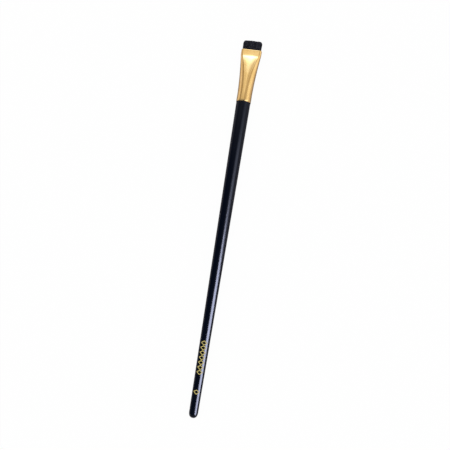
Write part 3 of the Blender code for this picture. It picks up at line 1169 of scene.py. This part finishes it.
@dataclass
class Tuft:
    """Hair: filaments that Geometry Nodes draw out of a bound root, and the root itself.

    Attributes:
        free_inside: Length of the filaments behind the mouth.
        fan_length: Length over which the bundle fans out.
        tie_width: Width of the bundle in its tie.
        tie_thickness: Thickness of the bundle in its tie.
        tip_width: Width of the cut end.
        tip_thickness: Thickness of the cut end.
        corner_radius: Rounding of the cut end's corners.
        crown: How much shorter the outer rows are.
        raggedness: How much the filaments' lengths differ.
        clumps: Longer and shorter clumps in a metre.
        clump_edge: Noise at which a shorter clump starts and at which it is shortest.
        lean: How far a filament's tip strays.
        jitter: How far a root strays, as a share of the distance between roots.
        roundness: How far the rows run into the bundle's round sides, 1 being as far as they go.
        columns: Filaments across.
        rows: Filaments deep.
        filament_diameter: Thickness of one filament at its root.
        filament_taper: How much thinner it is at its tip.
        filament_sides: Sides of a filament.
        filament_segments: Steps along it.
        root_sides: Steps round the root.
        root_steps: Steps along the root.
        seed: Start of the chances.
    """

    CHANCE = "chance"
    ROOT = "root"

    free_inside: float = 0.0011
    fan_length: float = 0.0049
    tie_width: float = 0.0042
    tie_thickness: float = 0.0020
    tip_width: float = 0.0085
    tip_thickness: float = 0.00078
    corner_radius: float = 0.0013
    crown: float = 0.00012
    raggedness: float = 0.00024
    clumps: float = 900.0
    clump_edge: Edge = (0.3, 0.7)
    lean: float = 0.00003
    jitter: float = 0.22
    roundness: float = 0.97
    columns: int = 112
    rows: int = 13
    filament_diameter: float = 0.000072
    filament_taper: float = 0.25
    filament_sides: int = 5
    filament_segments: int = 5
    root_sides: int = 72
    root_steps: int = 12
    seed: int = 11

    def section(self, y: float, ferrule: Ferrule, start: float, mouth: float) -> tuple[float, float]:
        """Width and thickness of the bundle at y.

        Args:
            y: Place along the axis.
            ferrule: What it sits in.
            start: Where the ferrule starts.
            mouth: Where the ferrule ends.

        Returns:
            Width and thickness.
        """
        inset = 2 * (ferrule.wall + ferrule.clearance)
        crease_back = ferrule.crease_back(mouth)
        pressing = ferrule.pressing(start, mouth)
        full_width = pressing.width_at(pressing.thickness_at(max(y, crease_back))) - inset
        share = min(1.0, max(0.0, (y - crease_back) / self.fan_length + 1))
        full_thickness = ferrule.mouth_thickness - inset
        return blend(self.tie_width, full_width, share), blend(self.tie_thickness, full_thickness, share)

    def build_root(self, axis: BrushAxis, ferrule: Ferrule, material: bpy.types.Material) -> bpy.types.Object:
        """Make the bound root, as far as the slice that the filaments leave.

        Args:
            axis: Where the brush lies.
            ferrule: What it sits in.
            material: Finish of the hair.

        Returns:
            The piece.
        """
        start, mouth = ferrule.back(axis), axis.span(Node.FERRULE)[1]
        back, _ = axis.span(Node.TUFT)
        front = mouth - self.free_inside
        rings = []
        for y in [*steps(back, front, self.root_steps), front]:
            width, thickness = self.section(y, ferrule, start, mouth)
            rings.append(self.ring(y, width, thickness))
        mesh = ringed_mesh("hair_root", rings)
        mesh.materials.append(material)
        shade(mesh)
        mesh.transform(axis.matrix)
        return finished(new_object("hair_root", mesh))

    def ring(self, y: float, width: float, thickness: float) -> list[Place]:
        """Outline of two flat sides and two round ends.

        Args:
            y: Place along the axis.
            width: Width of the outline.
            thickness: Thickness of the outline.

        Returns:
            Its points.
        """
        points = []
        for i in range(self.root_sides):
            turn = 2 * math.pi * i / self.root_sides
            x = math.copysign((width - thickness) / 2, math.sin(turn)) + thickness / 2 * math.sin(turn)
            points.append((x, y, thickness / 2 * math.cos(turn)))
        return points

    def filaments(self, width: float, thickness: float, length: float, material: bpy.types.Material) -> ShapeTree:
        """Tree that draws filaments out of a slice of the bundle.

        Args:
            width: Width of the slice.
            thickness: Thickness of the slice.
            length: Length of the longest filament.
            material: Finish of the hair.

        Returns:
            The tree.
        """
        sizes = {
            "Width": width - self.filament_diameter,
            "Thickness": thickness - self.filament_diameter,
            "Length": length,
            "Tip Width": self.tip_width - self.filament_diameter,
            "Tip Thickness": self.tip_thickness - self.filament_diameter,
            "Corner Radius": self.corner_radius,
            "Crown": self.crown,
            "Raggedness": self.raggedness,
            "Clumps per Metre": self.clumps,
            "Lean": self.lean,
            "Jitter": self.jitter,
            "Roundness": self.roundness,
            "Filament Diameter": self.filament_diameter,
            "Filament Taper": self.filament_taper,
        }
        counts = {"Columns": self.columns, "Rows": self.rows, "Seed": self.seed}
        tree = ShapeTree("draw_filaments", sizes, counts)
        strands = tree.real(self.instance_strands(tree, self.scatter_roots(tree)))
        tree.end(self.draw_out(tree, strands), material)
        return tree

    def scatter_roots(self, tree: ShapeTree) -> Socket:
        """Points on the slice, in staggered rows with a little chance, inside two round ends.

        Args:
            tree: The tree that they are made in.

        Returns:
            The points, which keep their place and their chances.
        """
        columns, rows, jitter = tree.size("Columns"), tree.size("Rows"), tree.size("Jitter")
        inputs = {"Size X": 2.0, "Size Y": 2.0, "Vertices X": columns, "Vertices Y": rows}
        grid = tree.node("GeometryNodeMeshGrid", inputs=inputs)
        across, level, _ = tree.position()
        chance = tree.chance(tree.size("Seed"))
        chance_x, chance_z, _ = tree.parts(chance)
        pitch = 2.0 / (columns - 1)
        row = ((level + 1) / 2 * (rows - 1) + 0.5).floor()
        stagger = pitch * ((row % 2.0) - 0.5) * 0.5
        across = (across + stagger + chance_x * pitch * jitter).within(-1.0, 1.0)
        level = (level + chance_z * jitter * 2.0 / (rows - 1)).within(-1.0, 1.0)
        half_thickness = tree.size("Thickness") / 2
        inset = half_thickness * (1 - (1 - (tree.size("Roundness") * level) ** 2).root())
        x = across * (tree.size("Width") / 2 - inset)
        points = tree.moved(tree.stored(grid.outputs[0], self.CHANCE, chance), x, 0.0, level * half_thickness)
        place = tree.node("GeometryNodeInputPosition").outputs[0]
        return tree.stored(points, self.ROOT, place)

    def instance_strands(self, tree: ShapeTree, roots: Socket) -> Socket:
        """One unit strand along Y on each root.

        Args:
            tree: The tree that they are made in.
            roots: Points on the slice.

        Returns:
            The instances.
        """
        inputs = {"Vertices": self.filament_sides, "Side Segments": self.filament_segments}
        inputs |= {"Radius": 0.5, "Depth": 1.0}
        strand = tree.node("GeometryNodeMeshCylinder", {"fill_type": "NGON"}, inputs).outputs[0]
        inputs = {"Geometry": strand, "Translation": (0.0, 0.5, 0.0), "Rotation": (-math.pi / 2, 0.0, 0.0)}
        laid = tree.node("GeometryNodeTransform", inputs=inputs)
        diameter = tree.size("Filament Diameter")
        inputs = {"Points": roots, "Instance": laid.outputs[0], "Scale": tree.vector(diameter, 1.0, diameter)}
        return tree.node("GeometryNodeInstanceOnPoints", inputs=inputs).outputs[0]

    def draw_out(self, tree: ShapeTree, strands: Socket) -> Socket:
        """Bend each strand from its root to its own cut tip.

        Args:
            tree: The tree that they are made in.
            strands: Unit strands on their roots.

        Returns:
            The filaments.
        """
        x, share, z = tree.position()
        root_x, _, root_z = tree.recalled(self.ROOT)
        chance_x, chance_z, chance_y = tree.recalled(self.CHANCE)
        tip_x = root_x * tree.size("Tip Width") / tree.size("Width")
        tip_z = root_z * tree.size("Tip Thickness") / tree.size("Thickness")
        radius = tree.size("Corner Radius")
        past = (abs(tip_x) - (tree.size("Tip Width") / 2 - radius)).within(0.0, radius)
        corner = radius - (radius * radius - past * past).root()
        crown = tree.size("Crown") * (2 * tip_z / tree.size("Tip Thickness")) ** 2
        noise = {"Vector": tree.vector(tip_x, 0.0, tip_z), "Scale": tree.size("Clumps per Metre"), "Detail": 1.0}
        clump = tree.number("ShaderNodeTexNoise", inputs=noise).rise(*self.clump_edge)
        ragged = tree.size("Raggedness") * ((chance_y + 1) / 4 + clump / 2)
        length = tree.size("Length") - corner - crown - ragged
        bend = share * share * tree.size("Lean")
        taper = 1 - tree.size("Filament Taper") * share
        new_x = root_x + (tip_x - root_x) * share + bend * chance_x + (x - root_x) * taper
        new_z = root_z + (tip_z - root_z) * share + bend * chance_z + (z - root_z) * taper
        return tree.moved(strands, new_x, share * length, new_z)

    def build(self, axis: BrushAxis, ferrule: Ferrule) -> list[bpy.types.Object]:
        """Make the hair.

        Args:
            axis: Where the brush lies.
            ferrule: What it sits in.

        Returns:
            The filaments and their bound root.
        """
        start, mouth = ferrule.back(axis), axis.span(Node.FERRULE)[1]
        _, tips = axis.span(Node.TUFT)
        material = BlackHair().material()
        slice_place = mouth - self.free_inside
        width, thickness = self.section(slice_place, ferrule, start, mouth)
        tree = self.filaments(width, thickness, tips - slice_place, material)
        front = BrushAxis(axis.matrix @ Vector((0.0, slice_place, 0.0)), axis.slope)
        hair = tree.grow("hair_filaments", bpy.data.meshes.new("hair_filaments"), front)
        return [finished(hair, Node.TUFT), self.build_root(axis, ferrule, material)]


@dataclass
class PrintMarks:
    """A plain row of outlined gold lozenges stamped on the handle, and one more nearer its end, wrapped round it.

    Attributes:
        first: Place of the row's first lozenge from the rounded end.
        pitch: Distance from one to the next.
        count: Lozenges in the row.
        single: Place of the one by itself.
        length: Length of a lozenge along the handle.
        width: Width of a lozenge round it.
        line: Width of its outline.
        thickness: Thickness of the ink.
        sunk: How deep its underside sits in the lacquer.
        outline_steps: Points along its outline.
    """

    first: float = 0.0212
    pitch: float = 0.0022
    count: int = 7
    single: float = 0.0123
    length: float = 0.00182
    width: float = 0.0026
    line: float = 0.00030
    thickness: float = 0.00003
    sunk: float = 0.00001
    outline_steps: int = 48

    def wrap(self, handle: Handle, length: float, material: bpy.types.Material) -> ShapeTree:
        """Tree that puts lozenges at the points it is given and wraps them round the handle.

        Args:
            handle: What they are stamped on.
            length: Length of the visible handle.
            material: Finish of the ink.

        Returns:
            The tree.
        """
        sizes = {
            "Mark Length": self.length,
            "Mark Width": self.width,
            "Line Width": self.line,
            "Ink Thickness": self.thickness,
            "Sunk": self.sunk,
            "Tail Radius": handle.tail_diameter / 2,
            "Taper": (handle.shoulder_diameter - handle.tail_diameter) / 2 / length,
        }
        tree = ShapeTree("stamp_marks", sizes, {"Outline Steps": self.outline_steps})
        inputs = {"Points": tree.given.outputs["Geometry"], "Instance": self.outlined_lozenge(tree)}
        stamped = tree.real(tree.node("GeometryNodeInstanceOnPoints", inputs=inputs).outputs[0])
        x, y, z = tree.position()
        radius = tree.size("Tail Radius") + y * tree.size("Taper")
        lifted = radius - tree.size("Sunk") + z + tree.size("Ink Thickness") / 2
        angle = x / radius
        tree.end(tree.moved(stamped, lifted * angle.sine(), y, lifted * angle.cosine()), material)
        return tree

    def outlined_lozenge(self, tree: ShapeTree) -> Socket:
        """A flat lozenge of one closed line.

        Args:
            tree: The tree that it is made in.

        Returns:
            The lozenge, lying across X and Y.
        """
        kind = "GeometryNodeCurvePrimitiveQuadrilateral"
        half = tree.size("Mark Length") / 2
        inputs = {"Width": tree.size("Mark Width"), "Bottom Height": half, "Top Height": half}
        lozenge = tree.node(kind, {"mode": "KITE"}, inputs).outputs[0]
        inputs = {"Curve": lozenge, "Count": tree.size("Outline Steps")}
        lozenge = tree.node("GeometryNodeResampleCurve", {"mode": "COUNT"}, inputs).outputs[0]
        inputs = {"Width": tree.size("Line Width"), "Height": tree.size("Ink Thickness")}
        line = tree.node(kind, {"mode": "RECTANGLE"}, inputs).outputs[0]
        return tree.node("GeometryNodeCurveToMesh", inputs={"Curve": lozenge, "Profile Curve": line}).outputs[0]

    def build(self, axis: BrushAxis, handle: Handle, ferrule: Ferrule) -> bpy.types.Object:
        """Make the marks.

        Args:
            axis: Where the brush lies.
            handle: What they are stamped on.
            ferrule: Where the handle ends.

        Returns:
            The piece.
        """
        points = bpy.data.meshes.new("print_marks")
        places = [self.single] + [self.first + self.pitch * i for i in range(self.count)]
        points.from_pydata([(0.0, y, 0.0) for y in places], [], [])
        tree = self.wrap(handle, ferrule.handle_length(axis), GoldInk().material())
        return finished(tree.grow("print_marks", points, axis))


@dataclass
class InnerPieces:
    """The pieces inside the ferrule, which keep their solids and get their finishes.

    Attributes:
        glue: Finish of the ring that holds the handle.
        resin: Finish of the plug that holds the hair.
        thread: Finish of the tie.
    """

    glue: SetGum = SetGum("handle_adhesive", (0.62, 0.50, 0.27), (0.78, 0.70, 0.50), Gloss.SATIN)
    resin: SetGum = SetGum("cast_resin", (0.66, 0.50, 0.25), (0.80, 0.68, 0.42), Gloss.POLISHED)
    thread: TwistedThread = TwistedThread()

    def build(self) -> list[bpy.types.Object]:
        """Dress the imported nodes.

        Returns:
            Their objects.
        """
        pieces = []
        finishes = {Node.HANDLE_GLUE: self.glue, Node.ROOT_GLUE: self.resin, Node.THREAD: self.thread}
        for node, finish in finishes.items():
            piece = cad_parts[node.value]
            piece.data.materials.clear()
            piece.data.materials.append(finish.material())
            pieces.append(piece)
        return pieces


@dataclass(frozen=True)
class Rig:
    """Frame that camera, lamp and air share, turned about the brush.

    Attributes:
        roll: Angle by which it leans to the right from straight above.
        height: Height above the table of the line that it turns about.
    """

    roll: float = math.radians(6.0)
    height: float = 0.0027

    @property
    def matrix(self) -> Matrix:
        """Takes a place in the rig to the row frame."""
        pivot = Matrix.Translation((0.0, 0.0, self.height))
        return pivot @ Matrix.Rotation(self.roll, 4, "Y") @ pivot.inverted()

    def hang(self, name: str, data: bpy.types.ID, place: Place, turn: Matrix) -> bpy.types.Object:
        """Put a camera or a lamp into the rig.

        Args:
            name: Its name.
            data: Camera or light.
            place: Where it stands in the rig.
            turn: How it is turned in the rig.

        Returns:
            The camera or lamp, linked to the scene.
        """
        thing = new_object(name, data)
        thing.matrix_world = self.matrix @ Matrix.Translation(place) @ turn
        return thing


@dataclass(frozen=True)
class Softbox:
    """A rectangular lamp that shows only in gloss, and only on some pieces.

    Attributes:
        name: Its name.
        aim: Place that it faces.
        place: Where it hangs.
        size: Width and height.
        radiance: Brightness of its face, 1 being white.
        colour: Tint of its light.
    """

    name: str
    aim: Place
    place: Place
    size: tuple[float, float]
    radiance: float
    colour: Colour

    def build(self, rig: Rig, lit: Sequence[bpy.types.Object]) -> None:
        """Hang the lamp.

        Args:
            rig: The frame that it hangs in.
            lit: The pieces that it shows on.
        """
        light = bpy.data.lights.new(self.name, "AREA")
        light.shape = "RECTANGLE"
        light.size, light.size_y = self.size
        light.energy = self.radiance * math.pi * self.size[0] * self.size[1]
        light.color = self.colour
        turn = (Vector(self.place) - Vector(self.aim)).to_track_quat("Z", "Y").to_matrix().to_4x4()
        lamp = rig.hang(self.name, light, self.place, turn)
        lamp.visible_diffuse = False
        receivers = bpy.data.collections.new(f"{self.name}_receivers")
        for piece in lit:
            receivers.objects.link(piece)
        lamp.light_linking.receiver_collection = receivers


@dataclass(frozen=True)
class Air:
    """What gloss shows of the room, by direction: dim over the handle and pale past the bristles.

    A direction has three numbers in the rig: right, onward to the bristles, and up. An edge is the pair of numbers
    between which one tone eases into the next.

    Attributes:
        behind: Over the handle.
        side: To the right of the handle, low down.
        back: Behind the handle, past its rounded end.
        ahead: Past the bristles, a little to the left.
        gap: Past the bristles, between that and the window.
        line: A dark line that leans in from the left.
        beyond: To the left of that line.
        window: Past the bristles, to the right.
        horizon: Past the bristles, low down.
        glint: What the flat band before the mouth shows.
        lamp: The softbox past the bristles.
        glow: To the right of the handle, where the other softbox fades.
        plain: Light from all round, on what isn't glossy.
        white: What the camera sees.
        gap_edge: From ahead to the gap, by right.
        window_edge: From the gap to the window, by right and onward together.
        line_slant: How much faster onward counts than right across the line.
        line_place: Where the line runs, by onward times that less right.
        line_edge: From the line to its surroundings, by distance from it.
        horizon_edge: From the horizon upwards, by up.
        lamp_place: Middle of the lamp, by right.
        lamp_side: From the lamp to its surroundings, by distance from its middle.
        lamp_foot: Where the lamp begins, by onward.
        lamp_head: Where the lamp begins, by up.
        glint_place: Middle of the glint, by right and onward.
        glint_edge: From the glint to its surroundings, by distance from its middle.
        glint_stretch: How much longer the glint is than wide.
        dusk: From over the handle to past the bristles, by onward.
        dawn: From over the handle to behind it, by onward the other way.
        side_edge: From over the handle to its right, by right.
        glow_place: Middle of the glow, by onward.
        glow_edge: From the glow to its surroundings, by distance from its middle.
        glow_side: Where the glow begins, by right.
        glow_head: Where the glow begins, by up.
    """

    behind: Colour = (0.05, 0.08, 0.14)
    side: Colour = (0.42, 0.40, 0.38)
    back: Colour = (0.46, 0.46, 0.47)
    ahead: Colour = (0.83, 0.81, 0.78)
    gap: Colour = (0.59, 0.55, 0.51)
    line: Colour = (0.40, 0.35, 0.28)
    beyond: Colour = (0.80, 0.77, 0.90)
    window: Colour = (1.08, 1.11, 1.16)
    horizon: Colour = (0.98, 0.95, 0.97)
    glint: Colour = (1.08, 1.12, 1.18)
    lamp: Colour = (3.4, 4.4, 6.2)
    glow: Colour = (3.2, 3.5, 4.5)
    plain: Colour = (0.9, 0.9, 0.9)
    white: Colour = (1.0, 1.0, 1.0)
    gap_edge: Edge = (-0.30, 0.10)
    window_edge: Edge = (0.76, 0.96)
    line_slant: float = 1.15
    line_place: float = 1.19
    line_edge: Edge = (0.05, 0.17)
    horizon_edge: Edge = (0.08, 0.30)
    lamp_place: float = -0.20
    lamp_side: Edge = (0.06, 0.26)
    lamp_foot: Edge = (0.50, 0.92)
    lamp_head: Edge = (0.15, 0.35)
    glint_place: Edge = (-0.20, 0.44)
    glint_edge: Edge = (0.03, 0.12)
    glint_stretch: float = 2.0
    dusk: Edge = (0.12, 0.31)
    dawn: Edge = (0.55, 0.78)
    side_edge: Edge = (0.35, 0.60)
    glow_place: float = 0.05
    glow_edge: Edge = (0.08, 0.21)
    glow_side: Edge = (0.05, 0.65)
    glow_head: Edge = (0.35, 0.50)

    def build(self, rig: Rig) -> None:
        """Make the world.

        Args:
            rig: The frame that the directions are read in.
        """
        world = bpy.data.worlds.new("studio_air")
        world.use_nodes = True
        bpy.context.scene.world = world
        tree = Tree(world.node_tree)
        light = tree.mix(tree.ray("Is Glossy Ray"), self.plain, self.shown(tree, rig))
        light = tree.mix(tree.open_view(), light, self.white)
        air = tree.node("ShaderNodeBackground", inputs={"Color": light, "Strength": 1.0})
        tree.node("ShaderNodeOutputWorld", inputs={"Surface": air.outputs[0]})

    def shown(self, tree: Tree, rig: Rig) -> Socket:
        """What gloss shows.

        Args:
            tree: The world's tree.
            rig: The frame that the directions are read in.

        Returns:
            The colour for each direction.
        """
        x, onward, z = tree.parts(tree.node("ShaderNodeTexCoord").outputs["Generated"])
        right = x * math.cos(rig.roll) - z * math.sin(rig.roll)
        up = x * math.sin(rig.roll) + z * math.cos(rig.roll)
        line = self.line_slant * onward - right - self.line_place
        ahead = tree.layered(
            self.ahead,
            (line.rise(-self.line_edge[1], -self.line_edge[0]), self.line),
            (line.rise(*self.line_edge), self.beyond),
            (right.rise(*self.gap_edge), self.gap),
            ((right + onward).rise(*self.window_edge), self.window),
        )
        ahead = tree.mix(up.rise(*self.horizon_edge), self.horizon, ahead)
        aside, along = right - self.glint_place[0], (onward - self.glint_place[1]) / self.glint_stretch
        glint = 1 - (aside * aside + along * along).root().rise(*self.glint_edge)
        lamp = onward.rise(*self.lamp_foot) * up.rise(*self.lamp_head)
        lamp = lamp * (1 - abs(right - self.lamp_place).rise(*self.lamp_side))
        ahead = tree.layered(ahead, (glint, self.glint), (lamp, self.lamp))
        over = tree.mix(right.rise(*self.side_edge), self.behind, self.side)
        glow = right.rise(*self.glow_side) * up.rise(*self.glow_head)
        glow = glow * (1 - abs(onward - self.glow_place).rise(*self.glow_edge))
        shown = tree.mix(onward.rise(*self.dusk), over, ahead)
        return tree.layered(shown, (glow, self.glow), ((0 - onward).rise(*self.dawn), self.back))


@dataclass
class Studio:
    """Camera, floor, air and lamp.

    Attributes:
        focal_length: Lens in millimetres on the sensor below.
        sensor_width: Sensor in millimetres.
        near_limit: Nearest distance that the camera sees.
        camera_place: Where the camera stands in the rig.
        lean: Angle by which the brush leans to the right in the picture.
        floor_size: Side of the floor.
        floor_drop: How far the floor lies under the brush.
        paper_glow: Share of its own white in what the camera sees of the floor.
        paper: Colour of the floor.
        paper_in_gloss_painted_dimmer: The same as gloss shows it, painted dimmer and tinted, a painted shade in its
            reflections.
        painted_shadow_under_brush: The same right under the brush, a painted shadow that only gloss shows.
        painted_shadow_edge: From that painted shadow to the open floor, by distance from the brush's middle line.
        brush_half: Half the length of the brush, along which the painted shadow runs.
        rig: What camera, lamp and air hang in.
        air: What gloss shows of the room.
        softbox: The lamp along the handle's right.
    """

    focal_length: float = 32.0
    sensor_width: float = 36.0
    near_limit: float = 0.01
    camera_place: Place = (0.00056, 0.0023, 0.1810)
    lean: float = math.radians(9.19)
    floor_size: float = 6.0
    floor_drop: float = 0.0001
    paper_glow: float = 0.97
    paper: Colour = (0.92, 0.92, 0.92)
    paper_in_gloss_painted_dimmer: Colour = (0.82, 0.78, 0.86)
    painted_shadow_under_brush: Colour = (0.34, 0.33, 0.36)
    painted_shadow_edge: Edge = (0.003, 0.022)
    brush_half: float = 0.083
    rig: Rig = Rig()
    air: Air = Air()
    softbox: Softbox = Softbox(
        name="window_side",
        aim=(0.0, -0.06, 0.0),
        place=(0.58, -0.29, 0.51),
        size=(0.43, 0.70),
        radiance=44.0,
        colour=(0.69, 0.74, 1.0),
    )

    def build_camera(self) -> None:
        """Put the camera over the brush."""
        lens = bpy.data.cameras.new("camera")
        lens.lens = self.focal_length
        lens.sensor_width = self.sensor_width
        lens.clip_start = self.near_limit
        camera = self.rig.hang("camera", lens, self.camera_place, Matrix.Rotation(self.lean, 4, "Z"))
        bpy.context.scene.camera = camera

    def paper_finish(self) -> bpy.types.Material:
        """Make the finish of the floor, white paper that still takes the brush's shadow, and that gloss sees with
        painted shade.

        Returns:
            The material.
        """
        material = bpy.data.materials.new("white_paper")
        material.use_nodes = True
        tree = Tree(material.node_tree)
        # Painted shade: glossy rays see the paper dimmer, and darker still near the brush as a painted shadow.
        x, y, _ = tree.parts(tree.node("ShaderNodeTexCoord").outputs["Object"])
        past = (abs(y) - self.brush_half).most(0.0)
        past_painted_shadow = (x * x + past * past).root().rise(*self.painted_shadow_edge)
        in_gloss = tree.mix(past_painted_shadow, self.painted_shadow_under_brush, self.paper_in_gloss_painted_dimmer)
        colour = tree.mix(tree.ray("Is Glossy Ray"), self.paper, in_gloss)
        paper = tree.node("ShaderNodeBsdfDiffuse", inputs={"Color": colour})
        glow = tree.node("ShaderNodeEmission", inputs={"Color": (*self.air.white, 1.0), "Strength": 1.0})
        inputs = {0: tree.open_view() * self.paper_glow, 1: paper.outputs[0], 2: glow.outputs[0]}
        mixed = tree.node("ShaderNodeMixShader", inputs=inputs)
        tree.node("ShaderNodeOutputMaterial", inputs={"Surface": mixed.outputs[0]})
        return material

    def build_floor(self) -> None:
        """Lay the floor."""
        half = self.floor_size / 2
        mesh = bpy.data.meshes.new("paper_floor")
        corners = [(-half, -half), (half, -half), (half, half), (-half, half)]
        mesh.from_pydata([(x, y, -self.floor_drop) for x, y in corners], [], [(0, 1, 2, 3)])
        mesh.materials.append(self.paper_finish())
        new_object("paper_floor", mesh)

    def build(self, lacquered: Sequence[bpy.types.Object]) -> None:
        """Set up the studio.

        Args:
            lacquered: The pieces that show the lamp.
        """
        self.build_camera()
        self.build_floor()
        self.air.build(self.rig)
        self.softbox.build(self.rig, lacquered)
        bpy.context.scene.view_settings.view_transform = "Standard"


def main() -> None:
    """Build the brush and its studio, and report each piece."""
    logging.basicConfig(level=logging.INFO, format="%(name)s: %(message)s")
    axis = BrushAxis.of_handle()
    handle, ferrule = Handle(), Ferrule()
    lacquered = handle.build(axis, ferrule)
    pieces = [lacquered, ferrule.build(axis), *Tuft().build(axis, ferrule)]
    pieces += [PrintMarks().build(axis, handle, ferrule), *InnerPieces().build()]
    for piece in pieces:
        LOG.info("%s has %d faces", piece.name, len(piece.data.polygons))
    Studio().build([lacquered])


if __name__ == "__main__":
    main()
